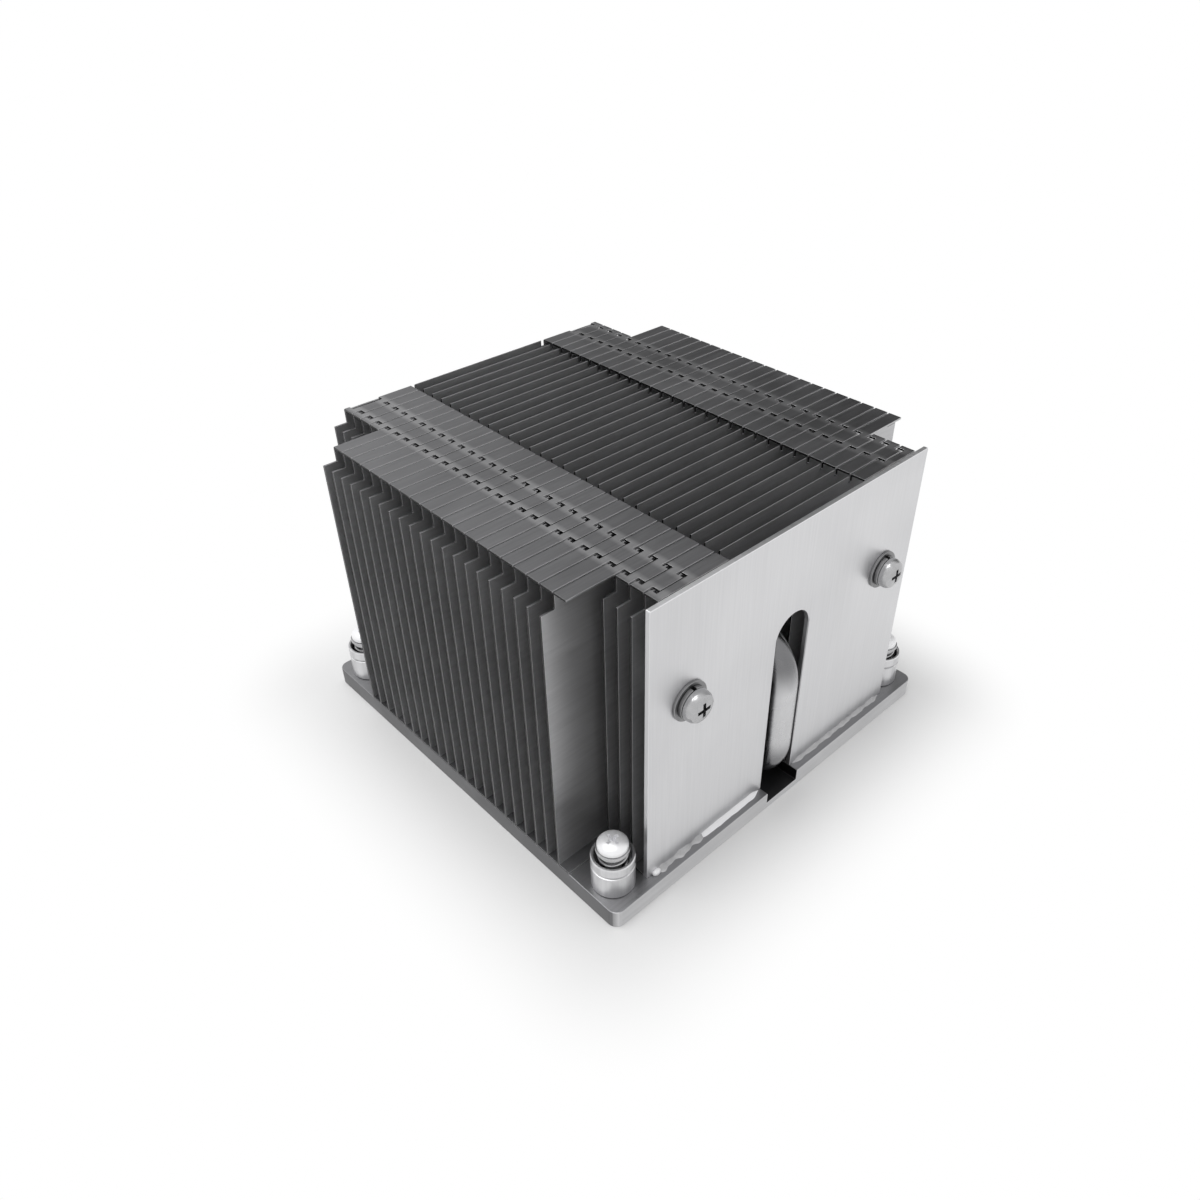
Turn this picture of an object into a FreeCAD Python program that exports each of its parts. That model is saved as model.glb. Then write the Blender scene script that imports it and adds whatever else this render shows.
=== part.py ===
import FreeCAD, Part
import math
import os
import Sketcher

# Passive heat sink for a server processor.
# A flat base plate carries a stack of folded sheet fins that lock into each other at the top,
# an end plate in front of them, one bent heat pipe, and a captive spring screw at each corner.
# Frame: origin at the centre of the base underside, +Z up, X along the fins (the way the air
# goes), the end plate on the -Y side. All sizes are in millimetres.

doc = FreeCAD.newDocument("heat_sink")
sheet = doc.addObject("Spreadsheet::Sheet", "Sizes")

SIZES = {
    "height": (64.0, "underside to fin tops"),
    # base plate
    "screw_spacing": (80.0, "corner screws, along X and along Y"),
    "side_margin": (5.0, "corner screws to the base's left and right edges"),
    "end_margin": (6.0, "corner screws to the base's front and rear edges"),
    "base_thickness": (4.0, "base plate"),
    "base_corner_radius": (2.0, "base corners seen from above"),
    # end plate
    "plate_setback": (2.0, "end plate and last fin behind the base edges"),
    "plate_thickness": (1.0, "end plate"),
    "slot_width": (9.0, "slot for the pipe in end plate and front fins"),
    "slot_top": (45.0, "top of that slot above the underside"),
    # fins
    "fin_thickness": (0.4, "fin sheet"),
    "flange_gap": (0.1, "flange tip to the next fin"),
    "flange_inset": (2.7, "flange ends inside the fin ends"),
    "corner_notch_height": (3.0, "step at each top corner of a fin"),
    "fold_cut": (0.3, "flat across the outside of each fold"),
    "window_width": (35.0, "open middle between the top flanges"),
    "relief_width": (0.9, "notch at each end of the window, where the fold stops"),
    "relief_depth": (1.4, "that notch, down from the top"),
    "lock_spacing": (56.7, "tongue to tongue on one fin"),
    "lock_width": (4.8, "tongue"),
    "lock_reach": (1.4, "tongue past the flange tip"),
    "lock_gap": (0.25, "tongue's tip to its recess"),
    "lock_side_gap": (0.9, "open slot at each side of a tongue"),
    # corners
    "corner_clearance": (0.5, "ferrule to narrow fin ends and end plate"),
    "corner_depth_gap": (2.0, "ferrule to the nearest wide fin"),
    # heat pipe
    "pipe_diameter": (6.0, "heat pipe"),
    "pipe_bend_radius": (9.0, "heat pipe bends, at the centre line"),
    "pipe_upper_height": (37.0, "centre line of the upper leg"),
    "pipe_floor": (1.4, "base metal left under the pipe"),
    "pipe_clearance": (0.1, "round the pipe in fins and groove"),
    "pipe_edge_gap": (0.1, "pipe front behind the base edge"),
    "pipe_rear_gap": (20.0, "pipe ends before the base's rear edge"),
    "pipe_tip_length": (2.0, "closed taper at each pipe end"),
    "pipe_tip_diameter": (3.0, "face of each pipe end"),
    # ferrules
    "ferrule_diameter": (8.0, "ferrule"),
    "ferrule_height": (7.5, "ferrule above the base"),
    "ferrule_bore": (6.8, "spring space in the ferrule"),
    "ferrule_floor": (0.8, "ferrule floor above the base"),
    "spigot_width": (4.8, "six-sided ferrule end pressed in the base, across flats"),
    "spigot_length": (1.8, "ferrule end pressed in the base"),
    "press_gap": (0.02, "pressed pieces to their holes"),
    "edge_chamfer": (0.4, "screw heads"),
    # captive screws
    "screw_diameter": (3.0, "thread and neck"),
    "screw_head_diameter": (5.6, "captive screw head"),
    "screw_head_height": (1.8, "captive screw head"),
    "screw_tip_gap": (0.5, "screw tip above the underside"),
    "hole_clearance": (0.3, "round the screw in the ferrule's end"),
    "seat_diameter": (6.2, "seat washer under the head"),
    "seat_thickness": (0.6, "seat washer under the head"),
    "running_play": (0.05, "screw in its seat washer, ring under the base"),
    "counterbore_diameter": (7.2, "hollow for the ring under each corner"),
    "ring_diameter": (5.4, "retaining ring"),
    "ring_thickness": (0.8, "retaining ring"),
    "recess_span": (3.2, "cross recess, tip to tip"),
    "recess_width": (0.9, "cross recess arm"),
    "recess_depth": (1.1, "cross recess"),
    # springs
    "spring_length": (8.0, "ferrule floor to seat washer"),
    "spring_diameter": (5.6, "spring, outside"),
    "spring_wire": (0.6, "spring wire"),
    # end plate screws
    "plate_screw_spacing": (53.0, "end plate screws, along X"),
    "plate_screw_height": (41.5, "end plate screws above the underside"),
    "plate_screw_diameter": (3.0, "end plate screw thread"),
    "plate_head_diameter": (6.0, "end plate screw head"),
    "plate_head_height": (2.2, "end plate screw head"),
    "washer_diameter": (7.6, "flat washer"),
    "washer_thickness": (0.5, "flat washer"),
    "lock_washer_diameter": (6.2, "spring washer"),
    "lock_washer_thickness": (0.8, "spring washer"),
    "lock_washer_split": (0.6, "cut through the spring washer"),
    "washer_clearance": (0.1, "washers and plate round the thread"),
    "nut_width": (5.5, "nut behind the end plate, across flats"),
    "nut_length": (1.8, "nut behind the end plate"),
    "thread_gap": (0.02, "screw thread in the nut"),
    "plate_screw_tip": (0.3, "screw past the nut"),
}
FIN_COUNT = 28
PIPE_SIDES = 12
BEND_STEPS = 8
ROUND_SIDES = 24
BORE_SIDES = 12
HEX_SIDES = 6
SPRING_TURNS = 5
SPRING_STEPS = 6

for line, (alias, (size, note)) in enumerate(SIZES.items(), start=1):
    sheet.set(f"A{line}", note)
    sheet.set(f"B{line}", str(size))
    sheet.setAlias(f"B{line}", alias)
doc.recompute()


def size(alias):
    """A driving dimension as a number, for the few places that count or sweep."""
    return float(getattr(sheet, alias))


def formula(text):
    """Turns 'a - b / 2' in plain aliases into an expression that reads the sheet."""
    words = text.replace("(", "( ").replace(")", " )").split()
    text = " ".join(f"Sizes.{word}" if word in SIZES else word for word in words)
    return f"( {text} ) * 1 mm"


# Lengths and places that several pieces share, as formulas of the driving dimensions.
BASE_WIDTH = "( screw_spacing + 2 * side_margin )"
BASE_LENGTH = "( screw_spacing + 2 * end_margin )"
FIN_PITCH = f"( ( {BASE_LENGTH} - 2 * plate_setback - plate_thickness ) / {FIN_COUNT} )"
PLATE_FRONT = f"( plate_setback - {BASE_LENGTH} / 2 )"
PLATE_REAR = f"( {PLATE_FRONT} + plate_thickness )"
FLANGE_REACH = f"( {FIN_PITCH} - fin_thickness - flange_gap )"
NARROW_WIDTH = "( screw_spacing - ferrule_diameter - 2 * corner_clearance )"
PIPE_FRONT = f"( pipe_edge_gap + pipe_diameter / 2 - {BASE_LENGTH} / 2 )"
PIPE_REAR = f"( {BASE_LENGTH} / 2 - pipe_rear_gap )"
PIPE_LOWER_HEIGHT = "( pipe_floor + pipe_clearance + pipe_diameter / 2 )"
PIPE_HOLE_RADIUS = "( pipe_diameter / 2 + pipe_clearance )"
FERRULE_TOP = "( base_thickness + ferrule_height )"
SPRING_SEAT = "( base_thickness + ferrule_floor )"
WEB_UNDERSIDE = "( base_thickness - spigot_length )"
RING_TOP = f"( {WEB_UNDERSIDE} - running_play )"
RING_UNDERSIDE = f"( {RING_TOP} - ring_thickness )"
SEAT_UNDERSIDE = f"( {SPRING_SEAT} + spring_length )"
SEAT_TOP = f"( {SEAT_UNDERSIDE} + seat_thickness )"


def new_body(label):
    body = doc.addObject("PartDesign::Body", label)
    body.Label = label
    return body


def new_sketch(body, name, role, offset="0"):
    """A sketch on one of the body's own origin planes, moved along that plane's normal."""
    sketch = body.newObject("Sketcher::SketchObject", name)
    plane = next(item for item in body.Origin.OriginFeatures if item.Role == role)
    sketch.AttachmentSupport = [(plane, "")]
    sketch.MapMode = "FlatFace"
    sketch.setExpression("AttachmentOffset.Base.z", formula(offset))
    return sketch


def pin_point(sketch, geometry, end, across, up):
    """Ties one end of a line or arc to formulas, measured from the sketch's origin."""
    now = sketch.getPoint(geometry, end)
    for kind, place, drawn in (("DistanceX", across, now.x), ("DistanceY", up, now.y)):
        if place is None:
            continue
        index = sketch.addConstraint(Sketcher.Constraint(kind, -1, 1, geometry, end, drawn))
        sketch.setExpression(f"Constraints[{index}]", formula(place))


def outline(sketch, points):
    """A closed outline of straight lines whose corners follow pairs of formulas."""
    first = sketch.GeometryCount
    turn = 2 * math.pi / len(points)
    ring = [FreeCAD.Vector(math.cos(i * turn), math.sin(i * turn), 0) for i in range(len(points))]
    for i in range(len(points)):
        sketch.addGeometry(Part.LineSegment(ring[i], ring[(i + 1) % len(points)]), False)
    for i, (across, up) in enumerate(points):
        before = first + (i - 1) % len(points)
        sketch.addConstraint(Sketcher.Constraint("Coincident", before, 2, first + i, 1))
        pin_point(sketch, first + i, 1, across, up)


def rectangle(sketch, left, right, low, high):
    outline(sketch, [(left, low), (right, low), (right, high), (left, high)])


def mirrored_rectangles(sketch, near, far, low, high):
    """The same rectangle on both sides of the sketch's vertical axis."""
    rectangle(sketch, near, far, low, high)
    rectangle(sketch, f"0 - ( {far} )", f"0 - ( {near} )", low, high)


def cut_pipe_slot(body):
    """Slot for the pipe in an upright sheet: open below, with a half-round top."""
    sketch = new_sketch(body, "SlotShape", "XZ_Plane")
    half = size("slot_width") / 2
    low = size("base_thickness") - 1
    shoulder = size("slot_top") - half
    corners = [FreeCAD.Vector(-half, low, 0), FreeCAD.Vector(half, low, 0),
               FreeCAD.Vector(half, shoulder, 0), FreeCAD.Vector(-half, shoulder, 0)]
    sketch.addGeometry(Part.LineSegment(corners[0], corners[1]), False)
    sketch.addGeometry(Part.LineSegment(corners[1], corners[2]), False)
    sketch.addGeometry(Part.Arc(corners[2], FreeCAD.Vector(0, shoulder + half, 0), corners[3]), False)
    sketch.addGeometry(Part.LineSegment(corners[3], corners[0]), False)
    for side in range(4):
        sketch.addConstraint(Sketcher.Constraint("Coincident", side, 2, (side + 1) % 4, 1))
    pin_point(sketch, 0, 1, "0 - slot_width / 2", "base_thickness - 1")
    pin_point(sketch, 0, 2, "slot_width / 2", "base_thickness - 1")
    pin_point(sketch, 1, 2, "slot_width / 2", "slot_top - slot_width / 2")
    pin_point(sketch, 3, 1, "0 - slot_width / 2", "slot_top - slot_width / 2")
    pin_point(sketch, 2, 3, None, "slot_top - slot_width / 2")
    pocket(body, sketch, "PipeSlot")


def polygon(sketch, sides, across, up, flat):
    """An even-sided hole or bar; 'flat' is from its middle to a side, so a round fits inside."""
    corners = []
    for number in range(sides):
        angle = math.pi * (2 * number + 1) / sides
        stretch = math.cos(math.pi / sides)
        corners.append((f"{across} + {math.cos(angle) / stretch:.9f} * ( {flat} )",
                        f"{up} + {math.sin(angle) / stretch:.9f} * ( {flat} )"))
    outline(sketch, corners)


def pad(body, sketch, name, length, reverse=False, both_ways=False):
    feature = body.newObject("PartDesign::Pad", name)
    feature.Profile = sketch
    feature.setExpression("Length", formula(length))
    feature.Reversed = reverse
    feature.Midplane = both_ways
    return feature


def pocket(body, sketch, name, length=None, reverse=False):
    """A cut of the given depth, or right through both ways when no depth is given."""
    feature = body.newObject("PartDesign::Pocket", name)
    feature.Profile = sketch
    if length is None:
        feature.Type = "ThroughAll"
        feature.Midplane = True
    else:
        feature.setExpression("Length", formula(length))
    feature.Reversed = reverse
    return feature


def turn(body, points):
    """A turned piece: the outline holds pairs of radius and height, spun about Z."""
    sketch = new_sketch(body, "Profile", "XZ_Plane")
    outline(sketch, points)
    feature = body.newObject("PartDesign::Revolution", "Turning")
    feature.Profile = sketch
    feature.ReferenceAxis = (sketch, ["V_Axis"])
    feature.Angle = 360.0
    return feature


def bore(body, top, depth, flat, sides=BORE_SIDES):
    """A many-sided hole down from the given height, as wide as the round that it clears."""
    sketch = new_sketch(body, "BorePlan", "XY_Plane", top)
    polygon(sketch, sides, "0", "0", flat)
    pocket(body, sketch, "Bore", depth)


def shank(body, low, length, radius):
    """A screw's thread as a many-sided bar whose corners lie on the given radius."""
    sketch = new_sketch(body, "ShankPlan", "XY_Plane", low)
    polygon(sketch, BORE_SIDES, "0", "0", f"{math.cos(math.pi / BORE_SIDES):.9f} * {radius}")
    pad(body, sketch, "Shank", length)


def cross_recess(body, top):
    """The cross recess of a screw head, cut down from the given height."""
    sketch = new_sketch(body, "RecessCross", "XY_Plane", top)
    arm = "recess_span / 2"
    half = "recess_width / 2"
    quarter = [(arm, half), (half, half), (half, arm)]
    corners = list(quarter)
    corners += [(f"0 - ( {across} )", up) for across, up in reversed(quarter)]
    corners += [(f"0 - ( {across} )", f"0 - ( {up} )") for across, up in quarter]
    corners += [(across, f"0 - ( {up} )") for across, up in reversed(quarter)]
    outline(sketch, corners)
    pocket(body, sketch, "Recess", "recess_depth")


def place(body, across, along, up="0", rotation=None):
    if rotation is not None:
        body.Placement = FreeCAD.Placement(FreeCAD.Vector(0, 0, 0), rotation)
    body.setExpression("Placement.Base.x", formula(across))
    body.setExpression("Placement.Base.y", formula(along))
    body.setExpression("Placement.Base.z", formula(up))


def group(label, members):
    """Identical fasteners of one kind share a name as separate solids."""
    compound = doc.addObject("Part::Compound", label)
    compound.Label = label
    compound.Links = members
    return compound


CORNERS = [(-1, -1), (1, -1), (1, 1), (-1, 1)]


def make_base():
    """Base plate: pipe groove on top, wider below the bend, and a stepped hole at each corner."""
    body = new_body("base_plate")
    plan = new_sketch(body, "Plan", "XY_Plane")
    rectangle(plan, f"0 - {BASE_WIDTH} / 2", f"{BASE_WIDTH} / 2",
              f"0 - {BASE_LENGTH} / 2", f"{BASE_LENGTH} / 2")
    plate = pad(body, plan, "Plate", "base_thickness")
    doc.recompute()
    corners = body.newObject("PartDesign::Fillet", "Corners")
    upright = [f"Edge{i + 1}" for i, edge in enumerate(plate.Shape.Edges)
               if abs(edge.BoundBox.ZLength - size("base_thickness")) < 0.001]
    corners.Base = (plate, upright)
    corners.setExpression("Radius", formula("base_corner_radius"))
    body.Tip = corners

    groove = new_sketch(body, "GroovePlan", "XY_Plane", "base_thickness")
    rectangle(groove, f"0 - {PIPE_HOLE_RADIUS}", PIPE_HOLE_RADIUS,
              f"0 - {BASE_LENGTH} / 2", f"{PIPE_REAR} + pipe_clearance")
    pocket(body, groove, "Groove", "base_thickness - pipe_floor")

    mouth = new_sketch(body, "MouthPlan", "XY_Plane", "base_thickness")
    rectangle(mouth, "0 - slot_width / 2", "slot_width / 2",
              f"0 - {BASE_LENGTH} / 2 - 1", f"{PIPE_FRONT} + pipe_diameter / 2")
    pocket(body, mouth, "GrooveMouth", "base_thickness - pipe_floor")

    holes = new_sketch(body, "HolePlan", "XY_Plane", "base_thickness")
    hollows = new_sketch(body, "HollowPlan", "XY_Plane", WEB_UNDERSIDE)
    for side, end in CORNERS:
        across = f"{side} * screw_spacing / 2"
        along = f"{end} * screw_spacing / 2"
        polygon(holes, HEX_SIDES, across, along, "spigot_width / 2 + press_gap")
        polygon(hollows, ROUND_SIDES, across, along, "counterbore_diameter / 2")
    pocket(body, holes, "FerruleHoles", "base_thickness")
    pocket(body, hollows, "RingHollows", "base_thickness")
    return body


def make_end_plate():
    """End plate: a flat sheet on the base, slotted for the pipe, with two screw holes."""
    body = new_body("end_plate")
    face = new_sketch(body, "Face", "XZ_Plane")
    rectangle(face, f"0 - {NARROW_WIDTH} / 2", f"{NARROW_WIDTH} / 2", "base_thickness", "height")
    pad(body, face, "Sheet", "plate_thickness", reverse=True)
    cut_pipe_slot(body)
    holes = new_sketch(body, "HolePlaces", "XZ_Plane")
    for side in (-1, 1):
        polygon(holes, BORE_SIDES, f"{side} * plate_screw_spacing / 2", "plate_screw_height",
                "plate_screw_diameter / 2 + washer_clearance")
    pocket(body, holes, "ScrewHoles")
    place(body, "0", PLATE_FRONT)
    return body


def fin_profile(body, width):
    """The folded sheet end on: web, top flange and foot flange, drawn out along X."""
    section = new_sketch(body, "Section", "YZ_Plane")
    tip = f"0 - {FLANGE_REACH}"
    fold = "fin_thickness - fold_cut"
    outline(section, [
        (fold, "base_thickness"),
        ("fin_thickness", "base_thickness + fold_cut"),
        ("fin_thickness", "height - fold_cut"),
        (fold, "height"),
        (tip, "height"),
        (tip, "height - fin_thickness"),
        ("0", "height - fin_thickness"),
        ("0", "base_thickness + fin_thickness"),
        (tip, "base_thickness + fin_thickness"),
        (tip, "base_thickness"),
    ])
    pad(body, section, "FoldedSheet", width, both_ways=True)


def fin_tongues(body):
    """Two tongues run on from the top flange, over the fin in front and into its recesses."""
    plan = new_sketch(body, "TonguePlan", "XY_Plane", "height")
    mirrored_rectangles(plan, "lock_spacing / 2 - lock_width / 2", "lock_spacing / 2 + lock_width / 2",
                        f"0 - {FLANGE_REACH} - lock_reach", "0 - flange_gap")
    pad(body, plan, "Tongues", "fin_thickness", reverse=True)


def fin_top_cuts(body, width):
    """Window and tongue recesses in the flange, fold reliefs, and a step at each end of the web."""
    plan = new_sketch(body, "TopPlan", "XY_Plane", "height")
    rectangle(plan, "0 - window_width / 2", "window_width / 2", f"0 - {FLANGE_REACH} - 1", "0")
    pocket(body, plan, "Window", "fin_thickness")
    recess = new_sketch(body, "RecessPlan", "XY_Plane", "height")
    mirrored_rectangles(recess, "lock_spacing / 2 - lock_width / 2 - lock_side_gap",
                        "lock_spacing / 2 + lock_width / 2 + lock_side_gap",
                        "flange_gap + fin_thickness - lock_reach - lock_gap", "fin_thickness + 1")
    pocket(body, recess, "TongueRecesses", "fin_thickness")
    edges = new_sketch(body, "EdgeCuts", "XZ_Plane")
    mirrored_rectangles(edges, "window_width / 2 - relief_width", "window_width / 2",
                        "height - relief_depth", "height + 1")
    mirrored_rectangles(edges, f"{width} / 2 - flange_inset", f"{width} / 2 + 1",
                        "height - corner_notch_height", "height + 1")
    pocket(body, edges, "ReliefsAndSteps")


def make_fin(label, width, along, tongues, slotted, pierced):
    body = new_body(label)
    fin_profile(body, width)
    if tongues:
        fin_tongues(body)
    fin_top_cuts(body, width)
    if slotted:
        cut_pipe_slot(body)
    if pierced:
        bores = new_sketch(body, "PipeShape", "XZ_Plane")
        polygon(bores, BORE_SIDES, "0", "pipe_upper_height", PIPE_HOLE_RADIUS)
        rectangle(bores, f"0 - {PIPE_HOLE_RADIUS}", PIPE_HOLE_RADIUS,
                  "base_thickness - 1", f"{PIPE_LOWER_HEIGHT} + {PIPE_HOLE_RADIUS}")
        pocket(body, bores, "PipeHoles")
    place(body, "0", along)
    return body


def base_length():
    return size("screw_spacing") + 2 * size("end_margin")


def pipe_front():
    """Where the pipe's upright leg stands."""
    return size("pipe_edge_gap") + size("pipe_diameter") / 2 - base_length() / 2


def make_fins():
    """The fins share out the base's length; those beside a ferrule are narrow."""
    plate_rear = size("plate_setback") - base_length() / 2 + size("plate_thickness")
    pitch = (base_length() - 2 * size("plate_setback") - size("plate_thickness")) / FIN_COUNT
    reach = pitch - size("fin_thickness") - size("flange_gap")
    ferrule_side = (size("screw_spacing") - size("ferrule_diameter")) / 2 - size("corner_depth_gap")
    bend_end = pipe_front() + size("pipe_bend_radius") + size("pipe_clearance")
    pipe_end = base_length() / 2 - size("pipe_rear_gap") + size("pipe_clearance")
    fins = []
    for index in range(FIN_COUNT):
        front = plate_rear + size("flange_gap") + reach + index * pitch
        narrow = front - reach < -ferrule_side or front + size("fin_thickness") > ferrule_side
        slotted = front < bend_end
        fins.append(make_fin(
            f"fin_{index + 1:02d}",
            NARROW_WIDTH if narrow else BASE_WIDTH,
            f"{PLATE_REAR} + flange_gap + {FLANGE_REACH} + {index} * {FIN_PITCH}",
            tongues=index > 0,
            slotted=slotted,
            pierced=not slotted and front < pipe_end,
        ))
    return fins


def make_heat_pipe():
    """One round pipe bent like a C, its closed ends tapered: lower leg in the base groove, upper
    leg in the fins. It is a row of rings joined straight, turned step by step round each bend."""
    radius = size("pipe_diameter") / 2
    bend = size("pipe_bend_radius")
    tip = size("pipe_tip_length")
    rear = base_length() / 2 - size("pipe_rear_gap") - tip
    low = size("pipe_floor") + size("pipe_clearance") + radius
    high = size("pipe_upper_height")
    middle = pipe_front() + bend

    def ring(around, along, up, turned):
        corners = []
        for side in range(PIPE_SIDES + 1):
            angle = 2 * math.pi * side / PIPE_SIDES
            out = around * math.sin(angle)
            corners.append(FreeCAD.Vector(around * math.cos(angle), along - out * math.sin(turned),
                                          up - out * math.cos(turned)))
        return Part.makePolygon(corners)

    rings = [ring(size("pipe_tip_diameter") / 2, rear + tip, low, 0), ring(radius, rear, low, 0)]
    for quarter, centre in enumerate((low + bend, high - bend)):
        for step in range(BEND_STEPS + 1):
            turned = math.pi / 2 * (quarter + step / BEND_STEPS)
            rings.append(ring(radius, middle - bend * math.sin(turned), centre - bend * math.cos(turned), turned))
    rings += [ring(radius, rear, high, math.pi), ring(size("pipe_tip_diameter") / 2, rear + tip, high, math.pi)]
    pipe = doc.addObject("Part::Feature", "heat_pipe")
    pipe.Label = "heat_pipe"
    pipe.Shape = Part.makeLoft(rings, True, True)
    return pipe


def at_corner(body, side, end):
    place(body, f"{side} * screw_spacing / 2", f"{end} * screw_spacing / 2")
    return body


def make_ferrule(side, end):
    """Turned cup for the spring, with a six-sided end pressed in the base."""
    body = new_body("ferrule")
    turn(body, [
        ("0", "base_thickness"),
        ("ferrule_diameter / 2", "base_thickness"),
        ("ferrule_diameter / 2", FERRULE_TOP),
        ("0", FERRULE_TOP),
    ])
    bore(body, FERRULE_TOP, "ferrule_height - ferrule_floor", "ferrule_bore / 2", ROUND_SIDES)
    spigot = new_sketch(body, "SpigotPlan", "XY_Plane", "base_thickness")
    polygon(spigot, HEX_SIDES, "0", "0", "spigot_width / 2")
    pad(body, spigot, "Spigot", "spigot_length", reverse=True)
    bore(body, SPRING_SEAT, "spigot_length + ferrule_floor", "screw_diameter / 2 + hole_clearance")
    return at_corner(body, side, end)


def make_captive_screw(label, side, end):
    """Captive screw: its head on the seat washer, its plain shank down to the base's underside."""
    body = new_body(label)
    head = "screw_head_diameter / 2"
    low = f"{SEAT_TOP} + running_play"
    top = f"{low} + screw_head_height"
    turn(body, [
        ("0", low),
        (head, low),
        (head, f"{top} - edge_chamfer"),
        (f"{head} - edge_chamfer", top),
        ("0", top),
    ])
    shank(body, "screw_tip_gap", f"{low} - screw_tip_gap", "screw_diameter / 2")
    cross_recess(body, top)
    return at_corner(body, side, end)


def flat_ring(body, low, thickness, outer, clear):
    """A plain flat ring that stands on the given height."""
    sketch = new_sketch(body, "RingPlan", "XY_Plane", low)
    polygon(sketch, ROUND_SIDES, "0", "0", outer)
    polygon(sketch, BORE_SIDES, "0", "0", clear)
    pad(body, sketch, "Ring", thickness)


def make_seat_washer(label, side, end):
    """Plain washer between the spring and the screw's head."""
    body = new_body(label)
    flat_ring(body, SEAT_UNDERSIDE, "seat_thickness", "seat_diameter / 2", "screw_diameter / 2 + running_play")
    return at_corner(body, side, end)


def make_retaining_ring(label, side, end):
    """Flat ring on the screw; it stops the screw under the ferrule's pressed end."""
    body = new_body(label)
    flat_ring(body, RING_UNDERSIDE, "ring_thickness", "ring_diameter / 2", "screw_diameter / 2 + press_gap")
    return at_corner(body, side, end)


def make_spring(label, side, end):
    """Compression spring from the ferrule's floor to the seat washer, in short straight steps."""
    wire = size("spring_wire")
    middle = (size("spring_diameter") - wire) / 2
    seat = size("base_thickness") + size("ferrule_floor")
    rise = size("spring_length") - wire
    steps = SPRING_TURNS * SPRING_STEPS
    sections = []
    for step in range(steps + 1):
        angle = 2 * math.pi * step / SPRING_STEPS
        out = FreeCAD.Vector(math.cos(angle), math.sin(angle), 0)
        up = FreeCAD.Vector(0, 0, seat + wire / 2 + rise * step / steps)
        corners = [out * (middle + wire / 2 * across) + up + FreeCAD.Vector(0, 0, wire / 2 * lift)
                   for across, lift in ((-1, -1), (1, -1), (1, 1), (-1, 1))]
        sections.append(Part.makePolygon(corners + corners[:1]))
    spring = doc.addObject("Part::Feature", label)
    spring.Label = label
    spring.Shape = Part.makeLoft(sections, True, True)
    half = size("screw_spacing") / 2
    spring.Placement = FreeCAD.Placement(FreeCAD.Vector(side * half, end * half, 0), FreeCAD.Rotation())
    return spring


WASHER_CLEAR = "plate_screw_diameter / 2 + washer_clearance"
FACING_OUT = FreeCAD.Rotation(FreeCAD.Vector(1, 0, 0), 90)


def on_end_plate(body, side):
    """Stands a turned piece on the end plate's front face, its +Z pointing away from the stack."""
    place(body, f"{side} * plate_screw_spacing / 2", PLATE_FRONT, "plate_screw_height", FACING_OUT)
    return body


def make_plate_screw(side):
    """Pan head screw with a cross recess, through both washers and the end plate into its nut."""
    body = new_body("plate_screw")
    seat = "washer_thickness + lock_washer_thickness"
    top = f"{seat} + plate_head_height"
    head = "plate_head_diameter / 2"
    tip = "0 - plate_thickness - nut_length - plate_screw_tip"
    turn(body, [
        ("0", seat),
        (head, seat),
        (head, f"{top} - 2 * edge_chamfer"),
        (f"{head} - 2 * edge_chamfer", top),
        ("0", top),
    ])
    shank(body, tip, f"{seat} - ( {tip} )", "plate_screw_diameter / 2")
    cross_recess(body, top)
    return on_end_plate(body, side)


def make_flat_washer(side):
    body = new_body("flat_washer")
    flat_ring(body, "0", "washer_thickness", "washer_diameter / 2", WASHER_CLEAR)
    return on_end_plate(body, side)


def make_lock_washer(side):
    """Spring washer, cut through once on its upper side."""
    body = new_body("lock_washer")
    flat_ring(body, "washer_thickness", "lock_washer_thickness", "lock_washer_diameter / 2", WASHER_CLEAR)
    split = new_sketch(body, "SplitPlan", "XY_Plane", "washer_thickness + lock_washer_thickness")
    rectangle(split, "0 - lock_washer_split / 2", "lock_washer_split / 2",
              "plate_screw_diameter / 2 - 1", "lock_washer_diameter / 2 + 1")
    pocket(body, split, "Split", "lock_washer_thickness")
    return on_end_plate(body, side)


def make_plate_nut(side):
    """Six-sided nut behind the end plate."""
    body = new_body("plate_nut")
    plan = new_sketch(body, "NutPlan", "XY_Plane", "0 - plate_thickness")
    polygon(plan, HEX_SIDES, "0", "0", "nut_width / 2")
    pad(body, plan, "Nut", "nut_length", reverse=True)
    bore(body, "0 - plate_thickness", "nut_length", "plate_screw_diameter / 2 + thread_gap")
    return on_end_plate(body, side)


nodes = [make_base(), make_end_plate(), make_heat_pipe()]
nodes += make_fins()
nodes.append(group("ferrules", [make_ferrule(side, end) for side, end in CORNERS]))
for number, (side, end) in enumerate(CORNERS, start=1):
    nodes.append(make_captive_screw(f"captive_screw_{number}", side, end))
    nodes.append(make_seat_washer(f"seat_washer_{number}", side, end))
    nodes.append(make_retaining_ring(f"retaining_ring_{number}", side, end))
    nodes.append(make_spring(f"spring_{number}", side, end))
nodes.append(group("plate_screws", [make_plate_screw(side) for side in (-1, 1)]))
nodes.append(group("flat_washers", [make_flat_washer(side) for side in (-1, 1)]))
nodes.append(group("lock_washers", [make_lock_washer(side) for side in (-1, 1)]))
nodes.append(group("plate_nuts", [make_plate_nut(side) for side in (-1, 1)]))

doc.recompute()
failed = [item.Label for item in doc.Objects if {"Invalid", "Error"} & set(item.State)]
if failed:
    raise RuntimeError(f"failed to compute: {failed}")
for node in nodes:
    if node.Shape.isNull() or not node.Shape.isValid():
        raise RuntimeError(f"no valid shape: {node.Label}")

os.makedirs("parts", exist_ok=True)
for node in nodes:
    node.Shape.exportStep(f"parts/{node.Label}.step")
print(f"{len(nodes)} nodes, {sum(len(node.Shape.Solids) for node in nodes)} solids")
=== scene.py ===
import math

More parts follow.
